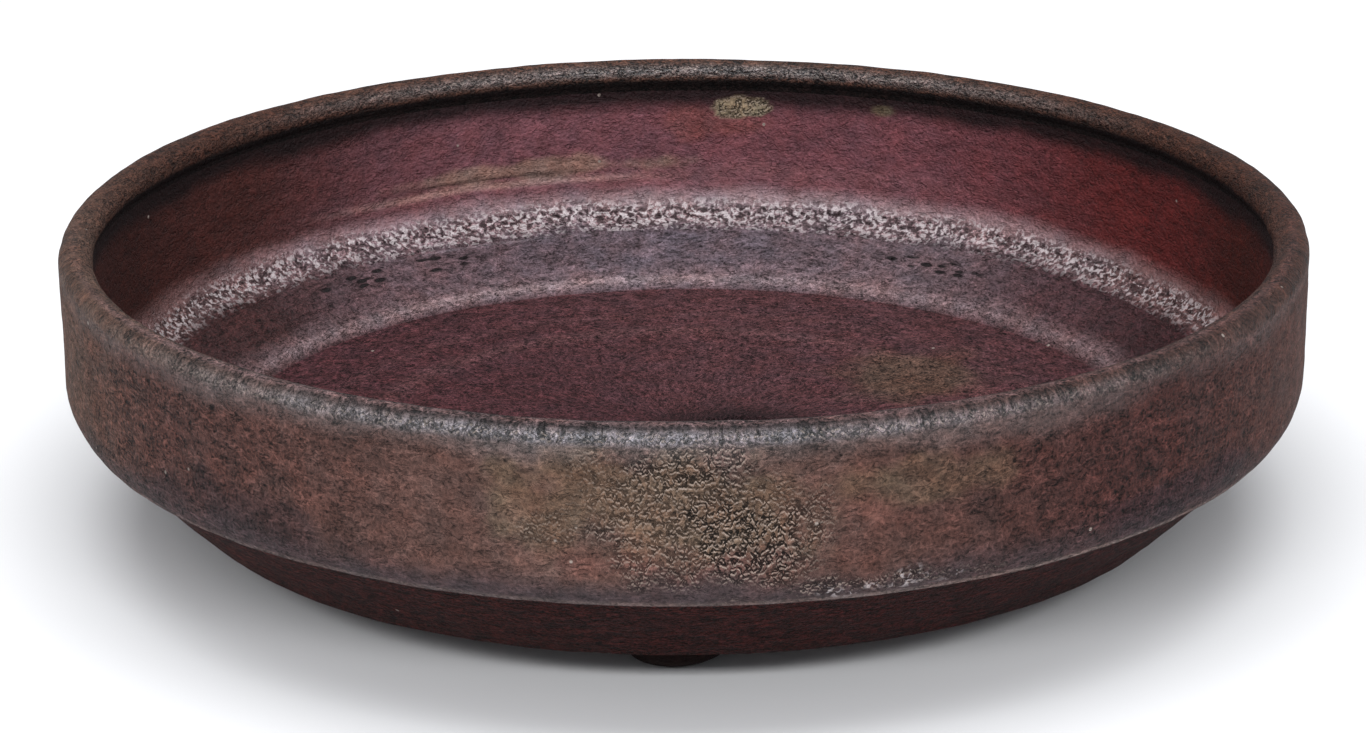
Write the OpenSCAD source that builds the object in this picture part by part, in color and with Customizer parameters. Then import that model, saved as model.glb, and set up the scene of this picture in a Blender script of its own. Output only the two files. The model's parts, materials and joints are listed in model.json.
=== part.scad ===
// Shallow round bonsai pot of unglazed stoneware: a flat slab floor, a flaring lower tier, an upright
// band with a rolled rim, a seam coil inside, and three button feet. The origin is on the ground
// under the middle of the pot, +Z is up, and the front foot points towards -Y.

/* [Bowl] */
// Outside diameter across the band
pot_d = 280; // [220:5:340]
// Height from the ground to the top of the rim
pot_h = 67; // [60:1:80]
// Thickness of the upright wall
wall_t = 6.3; // [5.5:0.1:7]

/* [Lower tier] */
// How far the edge of the underside stands in from the band
base_inset = 24; // [23:0.5:25]
// Height of the flaring tier, from the underside to the band
tier_h = 20; // [19:1:22]
// How far the tier's top stands in from the band
tier_inset = 4; // [3:0.5:5]

/* [Band] */
// How far the band's lower edge draws in
band_tuck = 2.5; // [1:0.5:3]
// Height of the rounding over the band's lower edge
band_tuck_h = 7; // [4:1:10]

/* [Rim] */
// Thickness of the rolled rim
rim_t = 7.5; // [7:0.1:9]
// How far the rim's neck reaches below the roll
rim_neck = 0.5; // [0.3:0.1:3]

/* [Floor] */
// Thickness of the floor slab round the drain hole
floor_t = 4.2; // [3.8:0.1:4.8]
// How much higher the floor's edge is than its middle
floor_rise = 0.6; // [0.2:0.1:0.8]
// Diameter of the level middle of the floor
floor_level_d = 84; // [80:1:100]
// How far the ridge round the floor stands in from the band
ridge_inset = 30.5; // [30:0.5:32]
// Height of the ridge above the floor's edge
ridge_h = 1.9; // [1.2:0.1:2.2]
// Slope of the ledge between the ridge and the wall, in degrees
ledge_slope = 29.4; // [28:0.2:30]
// Radius of the hollow rounding between ledge and wall
cove_r = 12; // [10:1:14]

/* [Drain hole] */
// Diameter of the drain hole
drain_d = 28; // [20:1:34]
// How far the drain hole stands to the right of the middle
drain_offset = 12; // [0:1:14]

/* [Feet] */
// Height of each foot
foot_h = 9; // [6:1:12]
// Diameter of a foot where it meets the floor slab
foot_top_d = 24; // [20:1:28]
// Diameter of a foot near the ground
foot_low_d = 18.5; // [15:0.5:20]
// Radius of the rounding round a foot's sole
foot_round = 2; // [1:0.5:3]
// How far the middle of each foot stands in from the band
foot_inset = 45.5; // [42:0.5:50]
// Direction of the front foot, in degrees from +X
foot_front_turn = -91.5; // [-95:0.5:-85]

/* [Hidden] */
$fn = 180;

outer_r = pot_d / 2;
wall_r = outer_r - wall_t;
base_r = outer_r - base_inset;
tier_r = outer_r - tier_inset;
band_z = foot_h + tier_h;

// Floor, ridge and ledge
floor_mid_z = foot_h + floor_t;
floor_edge_z = floor_mid_z + floor_rise;
ridge_r = outer_r - ridge_inset;
ridge_z = floor_edge_z + ridge_h;
riser_run = 1.2;
riser_r = ridge_r - riser_run;
slab_lap = 1;
slab_r = ridge_r + slab_lap;

// The cove is an arc that touches both the ledge and the upright wall
cove_cr = wall_r - cove_r;
cove_cz = ridge_z + (cove_cr - ridge_r) * tan(ledge_slope) + cove_r / cos(ledge_slope);
cove_low_a = ledge_slope - 90;
cove_band_a = asin((band_z - cove_cz) / cove_r);
cove_low_r = cove_cr + cove_r * cos(cove_low_a);

// The seam coil fills the corner between the slab and the tier, up most of the ledge
coil_seat = 4;
coil_back_r = slab_r + coil_seat;
coil_share = 0.85;
coil_top_r = ridge_r + coil_share * (cove_low_r - ridge_r);
coil_top_z = ridge_z + (coil_top_r - ridge_r) * tan(ledge_slope);

// The band's lower edge is an arc that starts upright and draws in by band_tuck
tuck_r = (pow(band_tuck, 2) + pow(band_tuck_h, 2)) / (2 * band_tuck);
tuck_a = asin(band_tuck_h / tuck_r);

// The rolled rim is a round bead on a neck
bead_r = rim_t / 2;
bead_cr = outer_r - bead_r;
bead_cz = pot_h - bead_r;
neck_z = bead_cz - bead_r - rim_neck;
neck_in = 0.4;

arc_steps = 10;
foot_steps = 5;
overshoot = 1;

// Points along an arc in a half-section, from angle a0 to angle a1
function arc_points(cr, cz, r, a0, a1, steps) = [
  for (i = [0 : steps])
    let (a = a0 + (a1 - a0) * i / steps)
    [cr + r * cos(a), cz + r * sin(a)]
];

// Flat round slab with a slightly dished top and one drain hole
module floor_slab() {
  color([0.30, 0.17, 0.17])
    difference() {
      rotate_extrude()
        polygon([
          [0, foot_h],
          [slab_r, foot_h],
          [slab_r, floor_edge_z],
          [riser_r, floor_edge_z],
          [floor_level_d / 2, floor_mid_z],
          [0, floor_mid_z]
        ]);
      translate([drain_offset, 0, foot_h - overshoot])
        cylinder(h = floor_t + 2 * overshoot, r = drain_d / 2);
    }
}

// Flaring ring that stands round the slab's edge and carries the band
module lower_tier() {
  color([0.22, 0.14, 0.13])
    rotate_extrude()
      polygon(concat(
        [
          [slab_r, foot_h],
          [base_r, foot_h],
          [tier_r, band_z]
        ],
        arc_points(cove_cr, cove_cz, cove_r, cove_band_a, cove_low_a, arc_steps),
        [
          [coil_top_r, coil_top_z],
          [coil_back_r, floor_edge_z],
          [slab_r, floor_edge_z]
        ]
      ));
}

// Coil of clay pressed into the corner, dressed to a slope that ends in a ridge round the floor
module seam_coil() {
  color([0.38, 0.30, 0.33])
    rotate_extrude()
      polygon([
        [riser_r, floor_edge_z],
        [coil_back_r, floor_edge_z],
        [coil_top_r, coil_top_z],
        [ridge_r, ridge_z]
      ]);
}

// Upright wall, coved inside at its foot and tucked in outside at its lower edge
module wall_band() {
  color([0.40, 0.30, 0.25])
    rotate_extrude()
      polygon(concat(
        arc_points(outer_r - tuck_r, band_z + band_tuck_h, tuck_r, -tuck_a, 0, arc_steps),
        [
          [outer_r, neck_z],
          [wall_r + neck_in, neck_z]
        ],
        arc_points(cove_cr, cove_cz, cove_r, 0, cove_band_a, arc_steps)
      ));
}

// Rolled rim: a round bead on a short neck
module rim_roll() {
  color([0.20, 0.16, 0.17])
    rotate_extrude()
      union() {
        translate([bead_cr, bead_cz])
          circle(r = bead_r);
        translate([wall_r + neck_in, neck_z])
          square([outer_r - wall_r - neck_in, bead_cz - neck_z]);
      }
}

// Button foot that narrows towards the ground, with a rounded sole
module foot(turn) {
  sole_r = foot_low_d / 2;
  color([0.16, 0.11, 0.11])
    rotate([0, 0, turn])
      translate([outer_r - foot_inset, 0, 0])
        rotate_extrude()
          polygon(concat(
            [[0, 0]],
            arc_points(sole_r - foot_round, foot_round, foot_round, -90, 0, foot_steps),
            [
              [foot_top_d / 2, foot_h],
              [0, foot_h]
            ]
          ));
}

module foot_front() {
  foot(foot_front_turn);
}

module foot_right() {
  foot(foot_front_turn + 120);
}

module foot_left() {
  foot(foot_front_turn + 240);
}

floor_slab();
lower_tier();
seam_coil();
wall_band();
rim_roll();
foot_front();
foot_right();
foot_left();
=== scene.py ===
import json
import math

import bpy
import numpy as np
from mathutils import Matrix, Vector


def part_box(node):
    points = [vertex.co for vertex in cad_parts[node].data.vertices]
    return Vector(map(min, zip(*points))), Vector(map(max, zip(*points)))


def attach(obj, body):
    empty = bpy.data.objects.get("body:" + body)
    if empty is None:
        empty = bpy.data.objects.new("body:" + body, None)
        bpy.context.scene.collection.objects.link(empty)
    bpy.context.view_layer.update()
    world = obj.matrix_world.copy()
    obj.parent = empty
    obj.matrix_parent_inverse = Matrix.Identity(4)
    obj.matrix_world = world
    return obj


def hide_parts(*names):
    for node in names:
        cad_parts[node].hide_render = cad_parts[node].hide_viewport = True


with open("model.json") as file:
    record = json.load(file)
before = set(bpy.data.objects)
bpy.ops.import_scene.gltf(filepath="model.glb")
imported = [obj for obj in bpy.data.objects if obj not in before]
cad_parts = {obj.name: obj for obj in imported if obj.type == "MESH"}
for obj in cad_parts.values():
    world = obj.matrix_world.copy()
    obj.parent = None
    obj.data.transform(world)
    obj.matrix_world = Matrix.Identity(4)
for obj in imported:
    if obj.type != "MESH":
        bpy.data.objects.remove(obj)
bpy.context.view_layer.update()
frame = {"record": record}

# A shallow round bonsai pot of wood-fired stoneware. Each clay member of the CAD frame is replaced by a
# closed surface turned from its half-section, worked over with the lumps, turning marks and pits of
# real clay, and coloured by where flame and ash ran in the kiln, with highlights and shade painted in at
# places.

MM = 0.001

# ---- Sizes, from the frame ---------------------------------------------------------------------

BAND_R = round(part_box("rim_roll")[1].x, 4)
RIM_TOP_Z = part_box("rim_roll")[1].z
NECK_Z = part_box("rim_roll")[0].z
BAND_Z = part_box("wall_band")[0].z
TIER_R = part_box("lower_tier")[1].x
UNDER_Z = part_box("floor_slab")[0].z
FLOOR_EDGE_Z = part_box("floor_slab")[1].z
SLAB_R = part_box("floor_slab")[1].x
COIL_TOP = (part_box("seam_coil")[1].x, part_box("seam_coil")[1].z)
FEET = ("foot_front", "foot_right", "foot_left")
DRAIN = next(m for m in frame["record"]["mounts"] if m["name"] == "drain_hole")
DRAIN_AT = np.array(DRAIN["pos_m"][:2])
DRAIN_R = DRAIN["dims"]["r_mm"] * MM
FLOOR_MID_Z = UNDER_Z + DRAIN["dims"]["length_mm"] * MM

# The half-section's own measures, as in the design
WALL_R = BAND_R - 6.3 * MM                            # inside of the upright wall
NECK_R = WALL_R + 0.4 * MM                            # inside of the rim's neck
BEAD = 3.75 * MM                                      # radius of the rolled bead
BASE_R = BAND_R - 24 * MM                             # edge of the underside
TUCK = 2.5 * MM                                       # how far the band's lower edge draws in,
TUCK_H = 7 * MM                                       # and over what height
RIDGE = (BAND_R - 30.5 * MM, FLOOR_EDGE_Z + 1.9 * MM)
RISER_R = RIDGE[0] - 1.2 * MM                         # foot of the short bank under the ridge
COIL_BACK_R = SLAB_R + 4 * MM                         # back of the coil's seat
COVE = 12 * MM                                        # radius of the hollow under the wall
LEDGE_SLOPE = math.radians(29.4)
LEVEL_R = 42 * MM                                     # level middle of the floor

GRAIN_R = 70 * MM                                     # half the pot's radius, for patterns drawn out
PIT_R = 42 * MM                                       # a third of the ledge's radius, for its pits
PITS_R = 121 * MM                                     # where the ledge is pitted

TURNS = 800                                           # sections of a turned ring
FOOT_TURNS = 132                                      # and of a foot

# ---- Numbers -----------------------------------------------------------------------------------


def linear(code):
    """The linear red, green and blue of an sRGB hex colour."""
    s = np.array([int(code[i:i + 2], 16) for i in (0, 2, 4)]) / 255
    return np.where(s <= 0.04045, s / 12.92, ((s + 0.055) / 1.055) ** 2.4)


def rise(low, high, x):
    """Smoothstep: 0 below low, 1 above high, and 3t^2 - 2t^3 between them."""
    t = np.clip((x - low) / (high - low), 0, 1)
    return t * t * (3 - 2 * t)


def bell(middle, half, x):
    """A smooth hump: 1 at the middle, 0 at half away from it and beyond."""
    return 1 - rise(0, half, np.abs(x - middle))


def lattice_noise(p, size, seed):
    """Value noise from -1 to 1: a random height at each corner of a cubic lattice of that size, blended
    between the eight corners round each point by a smoothstep along each axis."""
    q = p / size
    cell = np.floor(q).astype(np.int64)
    t = q - cell
    t = t * t * (3 - 2 * t)
    total = np.zeros(p.shape[:-1])
    for corner in np.ndindex(2, 2, 2):
        key = (cell + corner) @ np.array([73856093, 19349663, 83492791]) + seed * 668265263
        key = (key ^ (key >> 13)) * 1274126177
        key = key ^ (key >> 16)
        share = np.prod(np.where(corner, t, 1 - t), axis=-1)
        total += share * ((key & 0xFFFF) / 32767.5 - 1)
    return total


def layered_noise(p, size, seed):
    """Three lattice noises added, each at half the size and half the height of the one before, and
    brought back to the span from -1 to 1 by the sum of their heights, 1.75."""
    return sum(lattice_noise(p, size / 2**k, seed + k) / 2**k for k in range(3)) / 1.75


def azimuth_of(p):
    """Direction of each point round the pot, in degrees from +X, from -180 to 180."""
    return np.degrees(np.arctan2(p[..., 1], p[..., 0]))


def turn_from(azimuth, middle):
    """Signed angle in degrees from a middle azimuth, from -180 to 180."""
    return (azimuth - middle + 180) % 360 - 180


def patch(p, azimuth, height, wide, tall, ragged, seed):
    """A mask on an upright wall: 1 inside an ellipse round (azimuth, height), falling to 0 at its edge,
    which is pushed in and out by noise. Wide and tall are the half sizes in metres."""
    across = np.radians(turn_from(azimuth_of(p), azimuth)) * np.hypot(p[..., 0], p[..., 1])
    far = np.hypot(across / wide, (p[..., 2] - height) / tall)
    return 1 - rise(0.55, 1.15, far + ragged * layered_noise(p, 9 * MM, seed))


def round_the_pot(p, stops):
    """Colour by azimuth: each stop is (degrees, hex colour), and between two stops the colours blend by
    a smoothstep, closing after a full turn."""
    at = np.array([s[0] for s in stops], float)
    tint = np.array([linear(s[1]) for s in stops])
    at = np.append(at, at[0] + 360)
    tint = np.vstack([tint, tint[:1]])
    a = (azimuth_of(p) - at[0]) % 360 + at[0]
    k = np.clip(np.searchsorted(at, a, side="right") - 1, 0, len(at) - 2)
    t = rise(0, 1, (a - at[k]) / (at[k + 1] - at[k]))[..., None]
    return tint[k] * (1 - t) + tint[k + 1] * t


def mixed(under, over, mask):
    """The under colour with the over colour laid on it where the mask is 1."""
    return under + (over - under) * mask[..., None]


def azimuths():
    """The directions of a turned ring's sections, in radians from the back and once round. They stand
    2.2 times as close at the front, where the ash wrinkled the band, as elsewhere."""
    fine = np.linspace(90, 450, 3601)
    share = np.cumsum(1 + 1.2 * bell(270, 26, fine))
    wanted = np.linspace(share[0], share[-1], TURNS, endpoint=False)
    return np.radians(np.interp(wanted, share, fine))


# ---- Outlines ----------------------------------------------------------------------------------


def line(a, b, step):
    """Points from a to b, spaced by about step."""
    n = max(2, int(round(math.dist(a, b) / step)) + 1)
    return np.linspace(a, b, n)


def arc(centre, radius, start, end, step):
    """Points on a circle from the start to the end angle in degrees, spaced by about step."""
    n = max(3, int(round(radius * abs(math.radians(end - start)) / step)) + 1)
    a = np.radians(np.linspace(start, end, n))
    return np.stack([centre[0] + radius * np.cos(a), centre[1] + radius * np.sin(a)], -1)


def half_section(stretches):
    """Joins stretches, each (points, is_skin), into one closed outline that runs anticlockwise. Returns
    its points, the skin's outward normal at each (zero where only joint faces meet), and its corners."""
    pts = np.concatenate([s[0][:-1] for s in stretches])
    skin = np.concatenate([np.full(len(s[0]) - 1, float(s[1])) for s in stretches])
    after = np.roll(pts, -1, axis=0)
    if np.sum(pts[:, 0] * after[:, 1] - after[:, 0] * pts[:, 1]) < 0:
        pts = pts[::-1]
        skin = np.roll(skin[::-1], -1)
    along = np.roll(pts, -1, axis=0) - pts
    face = np.stack([along[:, 1], -along[:, 0]], -1) / np.linalg.norm(along, axis=1)[:, None]
    before = np.roll(face, 1, axis=0)
    normal = face * skin[:, None] + before * np.roll(skin, 1)[:, None]
    length = np.linalg.norm(normal, axis=1)
    normal = normal / np.maximum(length, 1e-9)[:, None]
    corner = (np.sum(face * before, axis=1) < 0.8) | (skin != np.roll(skin, 1))
    return pts, normal, corner


# ---- Meshes ------------------------------------------------------------------------------------


def put_colour(mesh, name, values):
    """Stores four numbers a vertex under that name, for the materials to read."""
    layer = mesh.color_attributes.new(name=name, type="FLOAT_COLOR", domain="POINT")
    layer.data.foreach_set("color", values.astype(np.float32).ravel())


def put_turning(mesh, points):
    """Stores where each vertex lies along the turning: the direction round the pot times half the pot's
    radius, and radius plus height. A pattern read there comes out twice as long round the pot as up
    it, with no seam."""
    x, y, z = points.reshape(-1, 3).T
    r = np.hypot(x, y)
    along = np.stack([x / r * GRAIN_R, y / r * GRAIN_R, r + z], -1)
    layer = mesh.attributes.new("turning", "FLOAT_VECTOR", "POINT")
    layer.data.foreach_set("vector", along.astype(np.float32).ravel())


def make_piece(name, points, faces, corner_rings, paint, node):
    """A mesh piece in the pot's own frame that stands for a CAD node. paint holds the two attributes of kiln
    colour and painted light, and corner_rings says which of each section's points lie on a sharp edge."""
    mesh = bpy.data.meshes.new(name)
    mesh.from_pydata(points.reshape(-1, 3).tolist(), [], faces)
    mesh.polygons.foreach_set("use_smooth", np.ones(len(mesh.polygons), bool))
    ring = np.zeros(len(mesh.edges) * 2, np.int32)
    mesh.edges.foreach_get("vertices", ring)
    ring = ring.reshape(-1, 2) % len(corner_rings)
    sharp = (ring[:, 0] == ring[:, 1]) & corner_rings[ring[:, 0]]
    mesh.attributes.new("sharp_edge", "BOOLEAN", "EDGE").data.foreach_set("value", sharp)
    fired, marks = paint
    put_colour(mesh, "fired", fired)
    put_colour(mesh, "marks", marks)
    put_turning(mesh, points)
    mesh.update()
    piece = bpy.data.objects.new(name, mesh)
    bpy.context.scene.collection.objects.link(piece)
    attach(piece, "root")
    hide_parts(node)
    return piece


def turned(name, stretches, relief, paint, node, bore=False):
    """A ring turned round +Z: the half-section stands at TURNS azimuths, and each skin point moves along
    its normal by relief(point). With bore, the section runs in to the drain hole's edge, and each ring's
    middle slides from the hole's middle to the pot's as its radius grows to the floor's edge."""
    pts, normal, corner = half_section(stretches)
    phi = azimuths()[:, None]
    r, z = pts[:, 0], pts[:, 1]
    x, y = r * np.cos(phi), r * np.sin(phi)
    if bore:
        share = 1 - np.clip((r - DRAIN_R) / (RISER_R - DRAIN_R), 0, 1)
        x = x + DRAIN_AT[0] * share
        y = y + DRAIN_AT[1] * share
    p = np.stack([x, y, np.broadcast_to(z, x.shape)], -1)
    n = np.stack([normal[:, 0] * np.cos(phi), normal[:, 0] * np.sin(phi),
                  np.broadcast_to(normal[:, 1], x.shape)], -1)
    moved = p + n * relief(p, n)[..., None]
    i = np.arange(TURNS)[:, None]
    j = np.arange(len(r))[None, :]
    i2 = (i + 1) % TURNS
    j2 = (j + 1) % len(r)
    w = len(r)
    faces = np.stack([i * w + j, i2 * w + j, i2 * w + j2, i * w + j2], -1).reshape(-1, 4)
    return make_piece(name, moved, faces.tolist(), corner, paint(p, n), node)


# ---- Clay relief -------------------------------------------------------------------------------


def hand_of_the_potter(p):
    """Slow waver of the whole turned form, the same for every member so that their seams meet: two and
    three waves round the pot, plus soft lumps 30 mm and 9 mm across."""
    a = np.arctan2(p[..., 1], p[..., 0])
    waver = 0.16 * np.cos(2 * a + 0.7) + 0.10 * np.cos(3 * a - 1.1)
    lumps = 0.16 * lattice_noise(p, 30 * MM, 11) + 0.10 * lattice_noise(p, 9 * MM, 12)
    return (waver + lumps) * MM


def fine_skin(p):
    """Uneven skin of coarse clay, 2.5 to 5 mm across."""
    return (0.07 * lattice_noise(p, 5 * MM, 21) + 0.05 * lattice_noise(p, 2.5 * MM, 22)) * MM


def rough_patch(p):
    """Where ash wrinkled the front of the band: a ragged patch, strongest a little right of the middle
    and thin to the left, with a strip up to the rim and one along the lower edge at the right."""
    whole = 0.6 * patch(p, -91.5, 48 * MM, 27 * MM, 14 * MM, 0.9, 31)
    strong = patch(p, -86, 45 * MM, 16 * MM, 10 * MM, 0.8, 32)
    up = 0.85 * patch(p, -89, 59 * MM, 19 * MM, 8 * MM, 0.9, 33)
    low = 0.6 * patch(p, -74, 32.5 * MM, 20 * MM, 2.5 * MM, 0.9, 34)
    return np.maximum(np.maximum(whole, strong), np.maximum(up, low))


def crackle_height(p):
    """Net of wrinkles: 1 less the size of a noise makes a sharp crest wherever the noise crosses 0."""
    return 1 - 2 * np.abs(lattice_noise(p, 2.6 * MM, 41)) - 0.6 * np.abs(lattice_noise(p, 1.7 * MM, 42))


def band_relief(p, n):
    """Waver, skin, faint turning lines 2.3 mm apart, the wrinkled patch at the front, and a shallow groove
    inside, over the cove at the back."""
    lines = np.sin(2 * np.pi * p[..., 2] / (2.3 * MM) + 2 * lattice_noise(p, 40 * MM, 51))
    lines = 0.035 * lines * rise(-0.2, 0.8, lattice_noise(p, 35 * MM, 52))
    outside = n[..., 0] * p[..., 0] + n[..., 1] * p[..., 1] > 0
    wrinkles = 0.28 * rough_patch(p) * crackle_height(p) * outside
    groove = 0.25 * bell(36.5 * MM, 1.1 * MM, p[..., 2]) * bell(112, 30, azimuth_of(p)) * (1 - outside)
    return hand_of_the_potter(p) + fine_skin(p) + (lines + wrinkles - groove) * MM


def plain_relief(p, n):
    """Waver and skin only."""
    return hand_of_the_potter(p) + fine_skin(p)


def pitted(p):
    """Where the ledge is pitted: a narrow arc near its top at the back left, and a few at the right."""
    a = azimuth_of(p)
    r = np.hypot(p[..., 0], p[..., 1])
    left = bell(127, 20, a) * bell(PITS_R, 4.0 * MM, r)
    right = 0.85 * bell(58, 13, a) * bell(PITS_R - 1.5 * MM, 4.0 * MM, r)
    return np.maximum(left, right)


def ledge_relief(p, n):
    """Waver and skin, pits where a noise drawn out three times round the pot is high, and a shallow
    groove along the coil's upper edge at the back."""
    a = np.arctan2(p[..., 1], p[..., 0])
    r = np.hypot(p[..., 0], p[..., 1])
    stretched = np.stack([a * PIT_R, r, p[..., 2]], -1)
    pit = rise(0.42, 0.75, lattice_noise(stretched, 2.1 * MM, 61)) * rise(0.15, 0.6, pitted(p))
    seam = 0.25 * bell(COIL_TOP[0], 1.1 * MM, r) * bell(122, 38, azimuth_of(p))
    return hand_of_the_potter(p) + fine_skin(p) - (0.5 * pit + seam) * MM


def floor_relief(p, n):
    """Waver and skin, and throwing rings: a cosine of the radius 13 mm from crest to crest, fading
    towards the ledge, with the ring at 75 mm standing proud."""
    r = np.hypot(p[..., 0], p[..., 1]) + 0.8 * MM * lattice_noise(p, 45 * MM, 71)
    top = n[..., 2] > 0.5
    rings = 0.15 * np.cos(2 * np.pi * (r - 75 * MM) / (13 * MM)) * (1 - rise(78 * MM, 92 * MM, r))
    rings = rings + 0.22 * bell(75 * MM, 9 * MM, r) - 0.12 * bell(92 * MM, 12 * MM, r)
    rings = rings * rise(DRAIN_R, DRAIN_R + 12 * MM, r)
    return hand_of_the_potter(p) * rise(0, 12 * MM, r) + fine_skin(p) + rings * top * MM


# ---- Kiln colour and painted light -------------------------------------------------------------
# Each paint function takes the points and their outward normals and returns two arrays of four numbers a
# point: "fired" is the clay's colour, with painted highlights and shade where noted, and its ash gloss,
# and "marks" is how wrinkled, beaded, pitted and grainy it is there.


def packed(colour, gloss, wrinkle=0, beads=0, pits=0, grain=1):
    """The two attributes of a surface, from its colour and the strength of each mark."""
    spread = [np.broadcast_to(v, colour.shape[:-1]) for v in (gloss, wrinkle, beads, pits, grain)]
    fired = np.concatenate([colour, spread[0][..., None]], -1)
    return fired.reshape(-1, 4), np.stack(spread[1:], -1).reshape(-1, 4)


# Colours round the pot, by direction from the right: -90 is the front and 90 the back
BAND_HUES = ((-165, "5c4439"),    # warm brown at the left
             (-138, "503530"),    # smoked
             (-92, "5d463f"),     # olive brown under the ash at the front
             (-50, "442825"),     # dark maroon
             (0, "553b34"),       # warm brown at the right
             (110, "563a34"))
WALL_HUES = ((10, "42160f"), (32, "612423"),     # red-brown at the right
             (72, "76484f"), (112, "764b52"),    # rose over the back
             (146, "4b2723"), (170, "3a1b16"),   # dark at the left
             (280, "612b29"))
# The cove's ash, paler at the back with a painted highlight
COVE_ASH_HIGHLIGHT_HUES = ((18, "70504e"),                     # bare at the sides
             (60, "947b7f"), (91, "9c8488"), (122, "94797e"),    # pale with ash at the back
             (162, "6e504e"), (260, "705559"))
LEDGE_HUES = ((20, "381b1e"), (38, "4b3034"),    # bare at the right
              (60, "655358"), (95, "665860"), (122, "624d52"),   # slate at the back
              (151, "3d2121"), (260, "52393d"))
FLOOR_HUES = ((75, "513235"), (150, "49292d"), (310, "4b2b2f"))
# The tier's dark brown, darkened further as painted shade, since it faces down and away from the light
SHADED_TIER_HUES = ((-165, "381815"), (-110, "321412"), (-60, "2e100f"), (60, "331412"))
RIM_HUES = ((-165, "553e33"), (-95, "504647"),   # ash-grey at the front
            (-52, "442f2a"), (15, "42261b"),     # brown at the right
            (90, "5b3d30"), (150, "472c22"))
# Ash with a painted highlight on the rim's shoulder, and the pinkish line over its top as a painted lit
# edge, from left to right at the front
SHOULDER_ASH_HIGHLIGHT_HUES = ((-155, "7c6a62"), (-98, "858086"), (-58, "796b6d"), (-38, "6b5755"))
LIT_EDGE_HUES = ((-170, "6e524a"), (-138, "7c6160"), (-92, "6a5150"), (-20, "634543"))


def outside_hue(p):
    """Outside of the band and rim: browns, with grey ash below the rim, darker grey along the tucked edge,
    olive and rose at the front, and a painted highlight on the lowest edge. Also returns the ash's share."""
    a, z = azimuth_of(p), p[..., 2]
    waver = 5 * MM * layered_noise(p, 20 * MM, 81)
    hue = round_the_pot(p, BAND_HUES)
    front = bell(-100, 64, a)
    top_ash = rise(57.5 * MM, 65 * MM, z + 0.7 * waver) * (0.25 + 0.6 * front)
    hue = mixed(hue, linear("645856"), top_ash)
    # Darker grey towards the band's tucked lower edge
    grey_lower_edge = (1 - rise(31 * MM, 39 * MM, z + waver)) * (0.4 + 0.45 * bell(-100, 90, a))
    hue = mixed(hue, linear("3a3034"), grey_lower_edge)
    hue = mixed(hue, linear("63543f"), 0.45 * patch(p, -90, 50 * MM, 36 * MM, 12 * MM, 0.9, 82))
    hue = mixed(hue, linear("6c4640"), 0.3 * patch(p, -93, 39 * MM, 20 * MM, 4 * MM, 0.9, 83))
    hue = mixed(hue, linear("643e37"), 0.2 * patch(p, -76, 47 * MM, 14 * MM, 9 * MM, 0.9, 87))
    hue = mixed(hue, linear("5f4f3e"), 0.45 * patch(p, -70, 52 * MM, 16 * MM, 8 * MM, 0.9, 97))
    hue = mixed(hue, linear("2c2226"), 0.5 * patch(p, -128, 37 * MM, 34 * MM, 6 * MM, 0.9, 88))
    hue = mixed(hue, linear("30242a"), 0.5 * patch(p, -44, 36 * MM, 24 * MM, 5 * MM, 0.9, 94))
    # Painted highlight along the rounded lowest edge of the band
    edge_highlight = bell(BAND_Z + 0.5 * MM, 1.0 * MM, z) * (0.25 + 0.3 * rise(-100, -50, a))
    hue = mixed(hue, linear("927f78"), edge_highlight)
    return hue, np.maximum(top_ash, 0.3 * grey_lower_edge)


def khaki(p):
    """A crisp fleck of khaki ash high on the wall at the back."""
    return rise(0.25, 0.6, patch(p, 82.5, 54.6 * MM, 6.8 * MM, 2.9 * MM, 0.8, 89))


def inside_hue(p):
    """Inside of the band: painted shade under the rolled rim, flecks of khaki, maroon with a painted
    highlight over the cove and a tan flash over a painted shadow line and a painted highlight line at a
    groove, and ash with a painted highlight in the cove. Also returns its gloss."""
    a, z = azimuth_of(p), p[..., 2]
    waver = 2.5 * MM * layered_noise(p, 18 * MM, 84)
    hue = round_the_pot(p, WALL_HUES)
    # Painted highlight: a pinkish band on the wall just over the cove at the back
    hue = mixed(hue, linear("8a6064"), 0.5 * bell(37 * MM, 5 * MM, z + waver) * bell(95, 60, a))
    hue = mixed(hue, linear("8c7064"), 0.85 * patch(p, 107, 39.9 * MM, 44 * MM, 2.9 * MM, 0.9, 85))
    # At the groove over the cove: a painted highlight line along it and a painted shadow line above it
    groove_light_and_shade = bell(112, 26, a)
    hue = mixed(hue, linear("b08e86"), 0.85 * groove_light_and_shade * bell(36.4 * MM, 1.6 * MM, z + 0.3 * waver))
    hue = mixed(hue, linear("34201f"), 0.8 * groove_light_and_shade * bell(38.3 * MM, 0.7 * MM, z + 0.3 * waver))
    hue = mixed(hue, linear("84483c"), 0.4 * patch(p, 86, 50 * MM, 14 * MM, 5 * MM, 0.9, 86))
    # The cove's pale ash, with a painted highlight at the back
    cove = 1 - rise(29.5 * MM, 35 * MM, z + 0.6 * waver)
    hue = mixed(hue, round_the_pot(p, COVE_ASH_HIGHLIGHT_HUES), cove)
    # Painted shade under the rolled rim, darkening the top of the wall
    darkening = rise(52.5 * MM, 57.5 * MM, z + 0.7 * waver)
    hue = mixed(hue, linear("150a0b"), 0.93 * darkening)
    hue = mixed(hue, linear("8d7e66"), 0.95 * khaki(p))
    hue = mixed(hue, linear("6c644c"), 0.7 * patch(p, 67.5, 55.8 * MM, 3.5 * MM, 1.5 * MM, 0.5, 90))
    return hue, np.clip(0.25 + 0.65 * cove, 0, 1)


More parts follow.
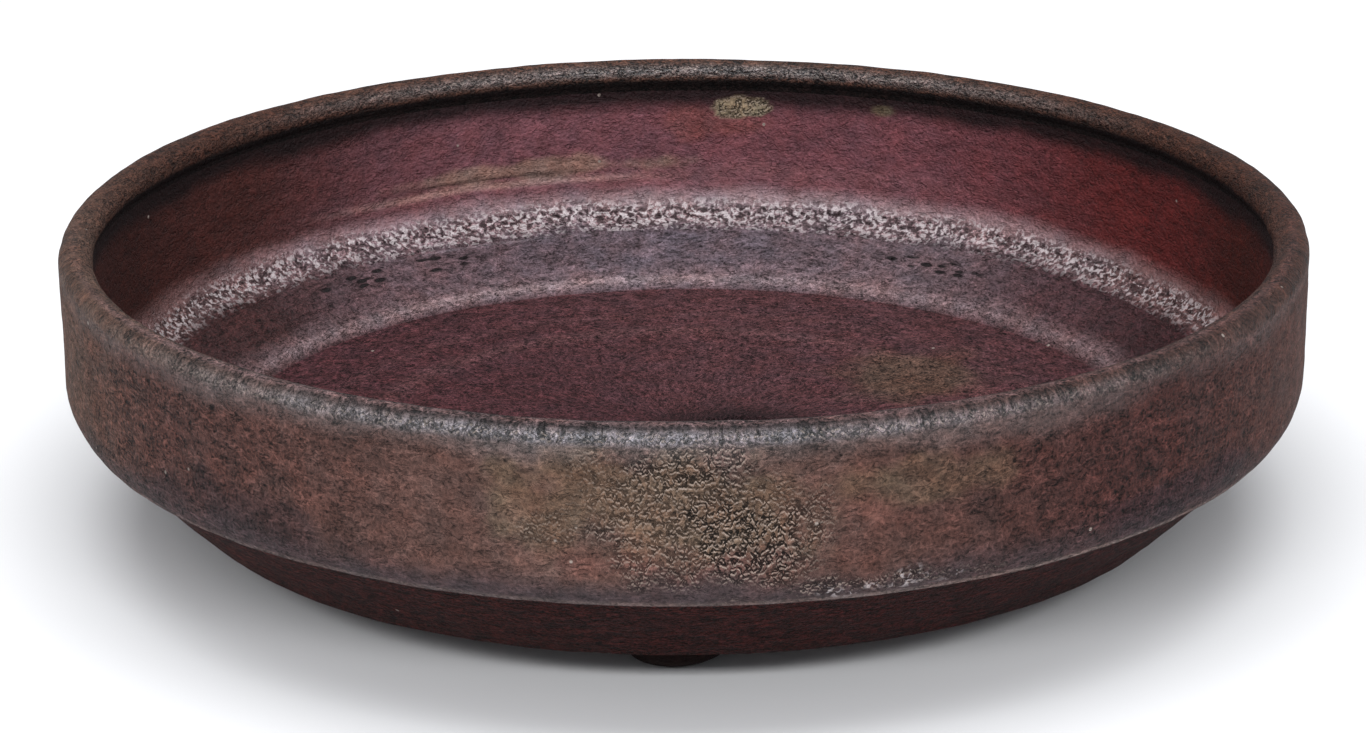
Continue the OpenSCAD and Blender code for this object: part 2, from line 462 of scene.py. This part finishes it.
def beaded(p):
    """Where ash beaded in the cove, a band 8 mm wide along its foot, thinner to either side of the back."""
    waver = 1.0 * MM * layered_noise(p, 14 * MM, 92)
    share = 0.5 + 0.5 * bell(95, 85, azimuth_of(p))
    return bell(27.4 * MM, 3.8 * MM, p[..., 2] + waver) ** (0.6 / share) * (0.4 + 0.6 * share)


def paint_band(p, n):
    """Outside and inside of the band, each with its own hues. The grain is strongest to either side of
    the front, and white granules of ash stand along the lower edge right of the middle."""
    a = azimuth_of(p)
    out = n[..., 0] * p[..., 0] + n[..., 1] * p[..., 1] >= 0
    outer, ash = outside_hue(p)
    inner, sheen = inside_hue(p)
    colour = np.where(out[..., None], outer, inner)
    granules = 0.5 * patch(p, -75, 32 * MM, 17 * MM, 2.2 * MM, 1.5, 35)
    granules = granules * rise(-0.1, 0.3, lattice_noise(p, 3 * MM, 36))
    grain = 0.85 + 0.9 * bell(-142, 34, a) + 0.8 * bell(-45, 34, a) + 0.4 * rise(-30, 20, a)
    return packed(colour, np.where(out, 0.6 * ash, sheen), np.where(out, rough_patch(p), 0.8 * khaki(p)),
                  np.where(out, granules, beaded(p)), 0, np.where(out, grain, 0.6))


def bead_angle(p):
    """Angle in degrees round the rim's bead, from -90 to 270: 0 faces outward, 90 up and 180 inward."""
    out = np.hypot(p[..., 0], p[..., 1]) - (BAND_R - BEAD)
    return (np.degrees(np.arctan2(p[..., 2] - (RIM_TOP_Z - BEAD), out)) + 90) % 360 - 90


def paint_rim(p, n):
    """The band's hues up to the bead, then brown. In front, pale slate ash with a painted highlight on the
    shoulder, and dark painted shade lines and a pinkish painted lit edge over the top; at the back, grey
    glassy ash with a painted highlight on the inner face; painted shade below it all round."""
    outer, ash = outside_hue(p)
    a = azimuth_of(p)
    angle = bead_angle(p) + 4 * layered_noise(p, 6 * MM, 98)
    over = rise(-10, 20, angle)
    front, back = bell(-95, 76, a), bell(88, 62, a)
    colour = mixed(outer, round_the_pot(p, RIM_HUES), over)
    # Pale slate ash on the shoulder at the front, with a painted highlight where the bead faces the light
    pale = bell(24, 34, angle) * front
    colour = mixed(colour, round_the_pot(p, SHOULDER_ASH_HIGHLIGHT_HUES), 0.85 * pale)
    # A painted lit edge: the pinkish line over the bead's top
    colour = mixed(colour, round_the_pot(p, LIT_EDGE_HUES), 0.9 * bell(84, 26, angle) * bell(-95, 125, a))
    # Painted shade: a dark line on the bead's upper shoulder and dark down its inner side, at the front
    line_up = np.maximum(bell(59, 8, angle), rise(97, 104, angle)) * front
    colour = mixed(colour, linear("1f1214"), 0.7 * line_up * front)
    # Grey glassy ash on the inner face of the bead at the back, with a painted highlight
    glaze_and_highlight = bell(154, 38, angle) * back
    colour = mixed(colour, linear("8a8180"), 0.8 * glaze_and_highlight)
    # Painted shade under the bead, all round
    colour = mixed(colour, linear("0e0809"), 0.95 * rise(186, 204, angle))
    shine = np.maximum(bell(150, 60, angle) * back, bell(26, 46, angle) * bell(-92, 62, a))
    rough = np.maximum(rough_patch(p) * (1 - over), 0.95 * np.maximum(pale, glaze_and_highlight))
    return packed(colour, np.clip(0.6 * ash * (1 - over) + over * (0.12 + 0.9 * shine), 0, 1), rough, 0, 0,
                  1 + over * (0.2 + np.maximum(front, back)))


def paint_tier(p, n):
    """Outside, smooth dark brown, darkened as painted shade. Inside, the ledge's slate, with the cove's ash
    and painted highlight at its top.
    """
    z = p[..., 2]
    inside = (z > FLOOR_EDGE_Z) & (n[..., 2] > 0)
    waver = 1.2 * MM * layered_noise(p, 14 * MM, 92)
    ash = rise(24.6 * MM, 26.2 * MM, z + waver)
    ledge = mixed(round_the_pot(p, LEDGE_HUES), round_the_pot(p, COVE_ASH_HIGHLIGHT_HUES), ash)
    outer = round_the_pot(p, SHADED_TIER_HUES)
    colour = np.where(inside[..., None], ledge, outer)
    return packed(colour, np.where(inside, 0.5 + 0.45 * ash, 0.1), 0, beaded(p) * inside,
                  inside * pitted(p), np.where(inside, 1.3, 2.4))


def paint_coil(p, n):
    """Slate ash over purple, with a pale painted highlight along the seam at the back, and paler and pinker
    along the ridge as painted highlights.
    """
    r = np.hypot(p[..., 0], p[..., 1])
    colour = round_the_pot(p, LEDGE_HUES)
    # A painted highlight: a thin pale line along the seam groove at the back
    line_up = bell(COIL_TOP[0] - 0.6 * MM, 0.8 * MM, r) * bell(112, 18, azimuth_of(p))
    colour = mixed(colour, linear("94848a"), 0.6 * line_up)
    # A painted highlight, soft and pinkish, over the ridge
    crest = bell(RIDGE[0] + 1 * MM, 5.5 * MM, r + 1.5 * MM * layered_noise(p, 16 * MM, 93))
    colour = mixed(colour, linear("7c6466"), 0.55 * crest)
    # A painted highlight, a narrow pale line along the ridge's edge
    edge = bell(RIDGE[0] + 0.4 * MM, 1.8 * MM, r) * (0.35 + 0.65 * bell(110, 60, azimuth_of(p)))
    colour = mixed(colour, linear("a08a8c"), 0.55 * edge)
    foot = 1 - rise(RIDGE[0] - 3 * MM, RIDGE[0] - 0.7 * MM, r)
    colour = mixed(colour, round_the_pot(p, FLOOR_HUES), foot)
    return packed(colour, 0.45, 0, 0, pitted(p) * rise(RIDGE[0] + 4 * MM, RIDGE[0] + 8 * MM, r), 1.2)


def paint_floor(p, n):
    """Maroon-brown, paler on the throwing rings as a painted highlight, olive where ash fell at the right,
    dark round the drain hole, and the tier's brown with its painted shade underneath."""
    colour = round_the_pot(p, FLOOR_HUES)
    r = np.hypot(p[..., 0], p[..., 1])
    # Painted highlight along the throwing rings, strongest on the ring at 75 mm
    rings = bell(75 * MM, 6 * MM, r) + 0.5 * bell(88 * MM, 4 * MM, r)
    colour = mixed(colour, linear("6a4a4a"), 0.3 * rings)
    spot = np.hypot(p[..., 0] - 55 * MM, p[..., 1] - 40 * MM) / (22 * MM)
    olive = 1 - rise(0.4, 1.1, spot + 0.4 * layered_noise(p, 12 * MM, 91))
    colour = mixed(colour, linear("5c4c38"), 0.5 * olive * (r < RISER_R))
    darkening = 1 - rise(DRAIN_R, DRAIN_R + 14 * MM, np.hypot(p[..., 0] - DRAIN_AT[0], p[..., 1] - DRAIN_AT[1]))
    colour = mixed(colour, linear("241517"), 0.8 * darkening)
    # Underneath, the tier's dark brown with its painted shade
    under = (p[..., 2] < UNDER_Z + 1 * MM) & (n[..., 2] < 0)
    colour = mixed(colour, round_the_pot(p, SHADED_TIER_HUES), under.astype(float))
    return packed(colour, 0.2, 0, 0, 0, 1.3)


def paint_foot(p, n):
    """Bare dark clay."""
    return packed(np.broadcast_to(linear("1f1514"), p.shape), 0.05)


# ---- Members -----------------------------------------------------------------------------------


def make_rim():
    """Rolled rim: up the neck's outside, over the round bead, down to the neck's inside."""
    middle = (BAND_R - BEAD, RIM_TOP_Z - BEAD)
    meet = 180 + math.degrees(math.acos((middle[0] - NECK_R) / BEAD))
    over = arc(middle, BEAD, 0, meet, 0.34 * MM)
    skin = np.vstack([line((BAND_R, NECK_Z), (BAND_R, middle[1]), 0.5 * MM)[:-1], over[:-1],
                      line(over[-1], (NECK_R, NECK_Z), 0.35 * MM)])
    joint = line((NECK_R, NECK_Z), (BAND_R, NECK_Z), 2 * MM)
    turned("rolled_rim", [(skin, True), (joint, False)], plain_relief, paint_rim, "rim_roll")


def cove_arc():
    """The arc that touches the upright wall and the ledge: its middle, and the angle in degrees at which
    the joint between tier and band cuts it."""
    r = WALL_R - COVE
    z = RIDGE[1] + (r - RIDGE[0]) * math.tan(LEDGE_SLOPE) + COVE / math.cos(LEDGE_SLOPE)
    return (r, z), math.degrees(math.asin((BAND_Z - z) / COVE))


def make_band():
    """Upright band: outside down to the tucked lower edge, under it, and up the cove and wall inside."""
    radius = (TUCK**2 + TUCK_H**2) / (2 * TUCK)
    turn = math.degrees(math.asin(TUCK_H / radius))
    cove, cut = cove_arc()
    tuck = arc((BAND_R - radius, BAND_Z + TUCK_H), radius, 0, -turn, 0.55 * MM)
    outside = np.vstack([line((BAND_R, NECK_Z), (BAND_R, BAND_Z + TUCK_H), 0.62 * MM)[:-1], tuck])
    up = arc(cove, COVE, cut, 0, 0.6 * MM)
    inside = np.vstack([up[:-1], line(up[-1], (NECK_R, NECK_Z), 0.7 * MM)])
    under = line(tuck[-1], inside[0], 1.5 * MM)
    top = line((NECK_R, NECK_Z), (BAND_R, NECK_Z), 2 * MM)
    turned("upright_band", [(outside, True), (under, False), (inside, True), (top, False)],
           band_relief, paint_band, "wall_band")


def make_tier():
    """Flaring tier: outside down to a softened heel, across the underside to the slab's edge, and the
    top of the ledge inside."""
    cove, cut = cove_arc()
    low = math.degrees(LEDGE_SLOPE) - 90
    soft = 1.6 * MM
    flare = math.atan2(BAND_Z - UNDER_Z, TIER_R - BASE_R)
    back = soft * math.tan(flare / 2)
    start = (BASE_R + back * math.cos(flare), UNDER_Z + back * math.sin(flare))
    outside = line((TIER_R, BAND_Z), start, 0.62 * MM)
    heel = arc((BASE_R - back, UNDER_Z + soft), soft, math.degrees(flare) - 90, -90, 0.35 * MM)
    under = line(heel[-1], (SLAB_R, UNDER_Z), 0.9 * MM)
    skin = np.vstack([outside[:-1], heel[:-1], under])
    seat = np.array([(SLAB_R, UNDER_Z), (SLAB_R, FLOOR_EDGE_Z), (COIL_BACK_R, FLOOR_EDGE_Z), COIL_TOP])
    round_in = arc(cove, COVE, low, cut, 0.5 * MM)
    ledge = np.vstack([line(COIL_TOP, round_in[0], 0.5 * MM)[:-1], round_in])
    top = line(ledge[-1], (TIER_R, BAND_Z), 1.5 * MM)
    turned("flaring_tier", [(skin, True), (seat, False), (ledge, True), (top, False)],
           ledge_relief, paint_tier, "lower_tier")


def make_coil():
    """Seam coil: down the ledge, over the ridge, and down a short bank into the floor. A running mean of
    the drawn section, taken twice over 1.75 mm, rounds its crest and foot."""
    r = np.arange(COIL_TOP[0], RIDGE[0] - 3.6 * MM, -0.25 * MM)
    z = np.interp(r, (RIDGE[0] - 3.6 * MM, RIDGE[0] - 1.7 * MM, RIDGE[0], COIL_TOP[0]),
                  (FLOOR_EDGE_Z - 0.35 * MM, FLOOR_EDGE_Z - 0.1 * MM, RIDGE[1], COIL_TOP[1]))
    mean = np.ones(7) / 7
    z = np.convolve(np.convolve(np.pad(z, 6, "reflect", reflect_type="odd"), mean, "valid"), mean, "valid")
    skin = np.stack([r, z], -1)
    under = FLOOR_EDGE_Z - 0.6 * MM
    seat = np.array([skin[-1], (r[-1], under), (COIL_BACK_R, under), skin[0]])
    turned("dressed_coil", [(skin, True), (seat, False)], ledge_relief, paint_coil,
           "seam_coil")


def make_floor():
    """Floor slab: out from the softened hole edge over the dished top, round the hidden edge, and back
    along the underside to the hole."""
    soft = 1.1 * MM
    lip = arc((DRAIN_R + soft, FLOOR_MID_Z - soft), soft, 180, 90, 0.35 * MM)
    level = line(lip[-1], (LEVEL_R, FLOOR_MID_Z), 1.4 * MM)
    dish = line((LEVEL_R, FLOOR_MID_Z), (RISER_R, FLOOR_EDGE_Z), 1.3 * MM)
    edge = np.array([(RISER_R, FLOOR_EDGE_Z), (SLAB_R, FLOOR_EDGE_Z), (SLAB_R, UNDER_Z)])
    lower = arc((DRAIN_R + soft, UNDER_Z + soft), soft, -90, -180, 0.35 * MM)
    under = line((SLAB_R, UNDER_Z), lower[0], 4 * MM)
    bore = line(lower[-1], lip[0], 1 * MM)
    turned("floor_slab_piece", [(np.vstack([lip[:-1], level[:-1], dish]), True), (edge, False),
                                (np.vstack([under[:-1], lower[:-1], bore]), True)],
           floor_relief, paint_floor, "floor_slab", bore=True)


def make_foot(node):
    """Button foot: a turned plug, squashed a little by the thumb, from the slab down to a bun-shaped sole,
    a quarter of an ellipse that ends in a flat 9 mm across."""
    low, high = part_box(node)
    middle = (low + high) / 2
    top_r = (high.x - low.x) / 2
    flat_r, bun_h = 4.5 * MM, 4.4 * MM
    neck = line((top_r + 1.6 * MM, high.z), (top_r - 0.2 * MM, high.z - 1.6 * MM), 0.4 * MM)
    side = line(neck[-1], (0.94 * top_r, bun_h), 0.45 * MM)
    t = np.linspace(0, np.pi / 2, 18)
    sole = np.stack([flat_r + (side[-1][0] - flat_r) * np.cos(t), bun_h - bun_h * np.sin(t)], -1)
    flat = line(sole[-1], (0.5 * MM, 0), 0.7 * MM)
    pts = np.vstack([neck[:-1], side[:-1], sole[:-1], flat])
    turns = FOOT_TURNS
    phi = np.linspace(0, 2 * np.pi, turns, endpoint=False)[:, None]
    squash = 1 + 0.025 * np.cos(2 * phi + middle.x * 90) + 0.015 * np.cos(3 * phi + middle.y * 70)
    p = np.stack([middle.x + squash * pts[:, 0] * np.cos(phi), middle.y + squash * pts[:, 0] * np.sin(phi),
                  np.broadcast_to(pts[:, 1], (turns, len(pts)))], -1)
    free = rise(0, 2 * MM, p[..., 2]) * (1 - rise(high.z - 2 * MM, high.z, p[..., 2]))
    out = np.stack([np.cos(phi), np.sin(phi), 0 * phi], -1)
    dents = 0.35 * lattice_noise(p, 7 * MM, 95) + 0.12 * lattice_noise(p, 2.6 * MM, 96)
    p = p + out * (dents * free * MM)[..., None]
    w = len(pts)
    i = np.arange(turns)[:, None]
    j = np.arange(w - 1)[None, :]
    i2 = (i + 1) % turns
    faces = np.stack([i * w + j + 1, i2 * w + j + 1, i2 * w + j, i * w + j], -1).reshape(-1, 4).tolist()
    top, bottom = turns * w, turns * w + 1
    k = np.arange(turns)
    k2 = (k + 1) % turns
    faces += np.stack([np.full(turns, top), k * w, k2 * w], -1).tolist()
    faces += np.stack([np.full(turns, bottom), k2 * w + w - 1, k * w + w - 1], -1).tolist()
    poles = np.array([(middle.x, middle.y, high.z), (middle.x, middle.y, 0)])
    points = np.vstack([p.reshape(-1, 3), poles])
    make_piece("button_" + node, points, faces, np.zeros(w, bool), paint_foot(points, points),
               node)


# ---- Materials ---------------------------------------------------------------------------------


def add(tree, kind, inputs=None, **settings):
    """Adds a node to a material's tree. inputs maps a socket's name or number to a value or to another
    node's output."""
    node = tree.nodes.new(kind)
    for key, value in settings.items():
        setattr(node, key, value)
    for key, value in (inputs or {}).items():
        if isinstance(value, bpy.types.NodeSocket):
            tree.links.new(value, node.inputs[key])
        else:
            node.inputs[key].default_value = value
    return node


def stoneware(name, rough, ash_rough, shine, ash_shine, fleck, relief, speck):
    """The fired clay that all members share. rough and shine are the roughness and the specular level of
    bare clay, ash_rough and ash_shine those of ash-glossed clay, fleck how strongly the grain varies in
    tone, relief its height in millimetres, and speck the share of cells that hold a pale grain."""
    material = bpy.data.materials.new(name)
    material.use_nodes = True
    tree = material.node_tree
    shader = tree.nodes["Principled BSDF"]
    at = add(tree, "ShaderNodeTexCoord").outputs["Object"]
    along = add(tree, "ShaderNodeAttribute", attribute_name="turning").outputs["Vector"]
    fired = add(tree, "ShaderNodeAttribute", attribute_name="fired")
    marks = add(tree, "ShaderNodeAttribute", attribute_name="marks")
    mark = add(tree, "ShaderNodeSeparateColor", {"Color": marks.outputs["Color"]})
    wrinkle, beads, pits = mark.outputs

    def noise(where, size, detail=2.0, rough=0.6, distortion=0.0):
        """Height from 0 to 1 of a noise whose lumps are about that many millimetres across."""
        return add(tree, "ShaderNodeTexNoise", {"Vector": where, "Scale": 1 / (size * MM), "Detail": detail,
                                                "Roughness": rough, "Distortion": distortion}).outputs[0]

    def graded(value, low, high, start, end, smooth=False):
        """The value carried from the span low..high to the span start..end."""
        return add(tree, "ShaderNodeMapRange", {0: value, 1: low, 2: high, 3: start, 4: end},
                   interpolation_type="SMOOTHSTEP" if smooth else "LINEAR").outputs[0]

    def maths(operation, a, b=0.0, c=0.0):
        """The result of one step of arithmetic."""
        return add(tree, "ShaderNodeMath", {0: a, 1: b, 2: c}, operation=operation).outputs[0]

    def shaded(colour, factor):
        """The colour times a factor."""
        return add(tree, "ShaderNodeVectorMath", {0: colour, 3: factor}, operation="SCALE").outputs[0]

    def laid(share, under, over):
        """The under colour with that share of the over colour laid on it."""
        return add(tree, "ShaderNodeMix", {0: share, 6: under, 7: over}, data_type="RGBA").outputs[2]

    def creases(where, size, width, gap=0.44):
        """Short crooked lines, 1 on the line: found where a noise is within width of its middle, and
        broken up where a second noise is under gap."""
        off = maths("ABSOLUTE", maths("SUBTRACT", noise(where, size, 1.5, 0.5, 0.5), 0.5))
        broken = graded(noise(where, 1.6 * size, 1.0), gap, gap + 0.1, 0, 1, True)
        return maths("MULTIPLY", graded(off, 0, width, 1, 0, True), broken)

    # Uneven firing: soft blotches 12 mm long round the pot and 6 mm high, and a slight drift of hue
    blotch = noise(along, 6.0, 5.0, 0.62)
    colour = shaded(fired.outputs["Color"], graded(blotch, 0.3, 0.7, 0.78, 1.22))
    drift = graded(noise(at, 8.0, 5.0, 0.65), 0.35, 0.65, 0, 1)
    warm = add(tree, "ShaderNodeVectorMath", {0: colour, 1: (1.08, 0.97, 0.93)}, operation="MULTIPLY")
    cool = add(tree, "ShaderNodeVectorMath", {0: colour, 1: (0.94, 1.02, 1.05)}, operation="MULTIPLY")
    colour = laid(drift, cool.outputs[0], warm.outputs[0])

    # Skin: fine sand, dark creases and pale scratches drawn out by the turning, and soft swells under them
    gritty = marks.outputs["Alpha"]
    sand = maths("SUBTRACT", noise(at, 0.75, 2.0, 0.7), 0.5)
    swell = maths("SUBTRACT", noise(along, 2.0, 2.0, 0.6), 0.5)
    crease = creases(along, 1.3, 0.07)
    scratch = creases(along, 1.75, 0.05, 0.42)
    tone = maths("MULTIPLY_ADD", crease, -0.5, maths("MULTIPLY", sand, 4.0))
    tone = maths("MULTIPLY_ADD", swell, 2.3, maths("MULTIPLY_ADD", scratch, 1.1, tone))
    tone = maths("MULTIPLY", tone, gritty)
    colour = shaded(colour, maths("MAXIMUM", maths("MULTIPLY_ADD", tone, fleck, 1.04), 0.1))

    # Ash at the front shrank into a skin full of short cracks, painted black as the shade in them, each with
    # a painted highlight on the lip below it, found by reading the same cracks a lip's width higher
    lip_h = 0.45 * MM
    above = add(tree, "ShaderNodeVectorMath", {0: at, 1: (0, 0, lip_h)}, operation="ADD").outputs[0]
    crack = creases(at, 1.15, 0.12, 0.36)
    lip = maths("MULTIPLY", creases(above, 1.15, 0.12, 0.36), graded(crack, 0, 0.5, 1, 0))
    cracks_with_painted_light = laid(maths("MULTIPLY", lip, 0.75), shaded(colour, graded(crack, 0, 1, 1.2, 0.05)),
                   (*linear("bba99c"), 1))
    colour = laid(wrinkle, colour, cracks_with_painted_light)

    # Ash in the cove drew up into pale beads and short worms 1 mm across, painted near-white as highlights,
    # with the gaps between them painted dark as shade
    drawn_up = noise(at, 1.3, 1.0, 0.5, 0.5)
    bead = maths("MULTIPLY", graded(drawn_up, 0.51, 0.59, 0, 1, True), beads)
    hollow = maths("MULTIPLY", graded(drawn_up, 0.40, 0.50, 1, 0, True), beads)
    colour = laid(maths("MULTIPLY", hollow, 0.9), colour, (*linear("2a1c1e"), 1))
    colour = laid(maths("MULTIPLY", bead, 0.9), colour, (*linear("eee2e3"), 1))

    # Pale feldspar grains under 1 mm across, in a few of the cells of a net 6 mm wide
    cell = add(tree, "ShaderNodeTexVoronoi", {"Vector": at, "Scale": 1 / (6 * MM)})
    chance = add(tree, "ShaderNodeSeparateColor", {"Color": cell.outputs["Color"]}).outputs[1]
    near = graded(cell.outputs["Distance"], 0.05, 0.085, 1, 0)
    speckle = maths("MULTIPLY", maths("LESS_THAN", chance, speck), near)
    colour = laid(speckle, colour, (*linear("a2958c"), 1))

    # Pits drawn out round the pot, in most cells of a stretched net 2.3 mm high, painted near-black as the
    # shade inside them
    hole = add(tree, "ShaderNodeTexVoronoi", {"Vector": along, "Scale": 1 / (2.3 * MM)})
    odds = add(tree, "ShaderNodeSeparateColor", {"Color": hole.outputs["Color"]}).outputs[2]
    deep = maths("MULTIPLY", graded(hole.outputs["Distance"], 0.34, 0.5, 1, 0, True),
                 maths("LESS_THAN", odds, 0.8))
    pit = maths("MULTIPLY", deep, graded(pits, 0.22, 0.45, 0, 1))
    colour = laid(pit, colour, (*linear("140d0f"), 1))
    tree.links.new(colour, shader.inputs["Base Color"])

    # Ash gloss lowers the roughness and raises the shine, unevenly
    gloss = fired.outputs["Alpha"]
    matt = maths("MULTIPLY", graded(gloss, 0, 1, rough, ash_rough), graded(blotch, 0.3, 0.7, 0.9, 1.1))
    tree.links.new(matt, shader.inputs["Roughness"])
    tree.links.new(graded(gloss, 0, 1, shine, ash_shine), shader.inputs["Specular IOR Level"])

    # Height in millimetres: swells, creases and sand, then beads, cracks and pits
    height = maths("MULTIPLY_ADD", swell, 0.9, maths("MULTIPLY_ADD", crease, -0.35, sand))
    height = maths("MULTIPLY", maths("MULTIPLY", height, gritty), relief)
    height = maths("MULTIPLY_ADD", bead, 0.4, height)
    height = maths("MULTIPLY_ADD", maths("MULTIPLY", crack, wrinkle), -0.45, height)
    height = maths("MULTIPLY_ADD", pit, -0.6, height)
    bump = add(tree, "ShaderNodeBump", {"Height": height, "Distance": MM, "Strength": 1.0})
    tree.links.new(bump.outputs["Normal"], shader.inputs["Normal"])
    return material


def dress(piece, material):
    """Gives a piece its material."""
    bpy.data.objects[piece].data.materials.append(material)


# ---- Stage -------------------------------------------------------------------------------------


def studio_floor():
    """A plain pale floor, large enough to fill the view."""
    half = 6.0
    mesh = bpy.data.meshes.new("studio_floor")
    mesh.from_pydata([(-half, -half, 0), (half, -half, 0), (half, half, 0), (-half, half, 0)], [],
                     [(0, 1, 2, 3)])
    floor = bpy.data.objects.new("studio_floor", mesh)
    bpy.context.scene.collection.objects.link(floor)
    # Pale painted board: matt, almost white
    board = bpy.data.materials.new("pale_board")
    board.use_nodes = True
    shader = board.node_tree.nodes["Principled BSDF"]
    shader.inputs["Base Color"].default_value = (*linear("f4f4f4"), 1)
    shader.inputs["Roughness"].default_value = 0.9
    shader.inputs["Specular IOR Level"].default_value = 0.1
    mesh.materials.append(board)


def softbox(name, at, towards, size, watts, colour):
    """A soft rectangular lamp, size (width, height) in metres, aimed at a point."""
    lamp = bpy.data.lights.new(name, "AREA")
    lamp.shape = "RECTANGLE"
    lamp.size, lamp.size_y = size
    lamp.energy = watts
    lamp.color = colour
    box = bpy.data.objects.new(name, lamp)
    bpy.context.scene.collection.objects.link(box)
    box.location = at
    box.rotation_mode = "QUATERNION"
    box.rotation_quaternion = (Vector(at) - Vector(towards)).to_track_quat("Z", "Y")


def light_the_stage():
    """A wide softbox before and above the pot, a large one overhead, and pale surroundings."""
    middle = (0, 0, 0.04)
    softbox("front_softbox", (0, -1.30, 0.90), middle, (2.0, 0.28), 17, (0.97, 0.98, 1.0))
    softbox("top_softbox", (0, 0.15, 1.6), middle, (1.8, 1.4), 23, (0.97, 0.98, 1.0))
    world = bpy.data.worlds.new("pale_room")
    bpy.context.scene.world = world
    world.use_nodes = True
    world.node_tree.nodes["Background"].inputs["Color"].default_value = (0.93, 0.95, 1.0, 1)
    world.node_tree.nodes["Background"].inputs["Strength"].default_value = 0.45


def place_camera():
    """A long lens looking down on the pot from the front, a hair off level."""
    eye = bpy.data.cameras.new("camera")
    eye.sensor_width = 36
    eye.lens = 102.4
    camera = bpy.data.objects.new("camera", eye)
    bpy.context.scene.collection.objects.link(camera)
    elevation, roll, distance = math.radians(19.445), math.radians(-0.4635), 0.891
    target = Vector((-0.29 * MM, 0, RIM_TOP_Z - 36.55 * MM))
    back = Vector((0, -math.cos(elevation), math.sin(elevation)))
    camera.matrix_world = (Matrix.Translation(target + back * distance)
                           @ Matrix.Rotation(math.pi / 2 - elevation, 4, "X")
                           @ Matrix.Rotation(roll, 4, "Z"))
    bpy.context.scene.camera = camera


# ---- The pot -----------------------------------------------------------------------------------

make_rim()
make_band()
make_tier()
make_coil()
make_floor()
for foot in FEET:
    make_foot(foot)

# Coarse sandy stoneware, turned and scraped, then wood-fired: dry outside, flashed by flame, with a thin
# crust of ash that wrinkled at the front and ran to a gloss in the cove
dress("upright_band", stoneware("band_stoneware", rough=0.78, ash_rough=0.27, shine=0.18, ash_shine=0.60,
                                fleck=0.60, relief=1.10, speck=0.10))
# The rim's bead was rolled and smoothed with a wet leather, so ash took to it as a thin gloss
dress("rolled_rim", stoneware("rim_stoneware", rough=0.75, ash_rough=0.22, shine=0.15, ash_shine=1.00,
                              fleck=0.65, relief=1.50, speck=0.05))
# The tier was scraped smooth below the band, out of the flame: no ash outside, almost no shine
dress("flaring_tier", stoneware("tier_stoneware", rough=0.80, ash_rough=0.27, shine=0.06, ash_shine=0.60,
                                fleck=0.65, relief=1.00, speck=0.04))
# The coil was smeared down over the joint with a finger, along the turning
dress("dressed_coil", stoneware("ledge_stoneware", rough=0.75, ash_rough=0.30, shine=0.15, ash_shine=0.55,
                                fleck=0.60, relief=1.10, speck=0.04))
# The floor was compressed with a rib in rings, and stayed dry
dress("floor_slab_piece", stoneware("floor_stoneware", rough=0.80, ash_rough=0.45, shine=0.12, ash_shine=0.40,
                                    fleck=0.75, relief=1.20, speck=0.03))
# Bare clay plugs, rubbed on the board
bare = stoneware("foot_stoneware", rough=0.85, ash_rough=0.60, shine=0.08, ash_shine=0.30,
                 fleck=0.40, relief=0.60, speck=0.02)
for foot in FEET:
    dress("button_" + foot, bare)

bpy.context.scene.view_settings.view_transform = "Standard"
studio_floor()
light_the_stage()
place_camera()
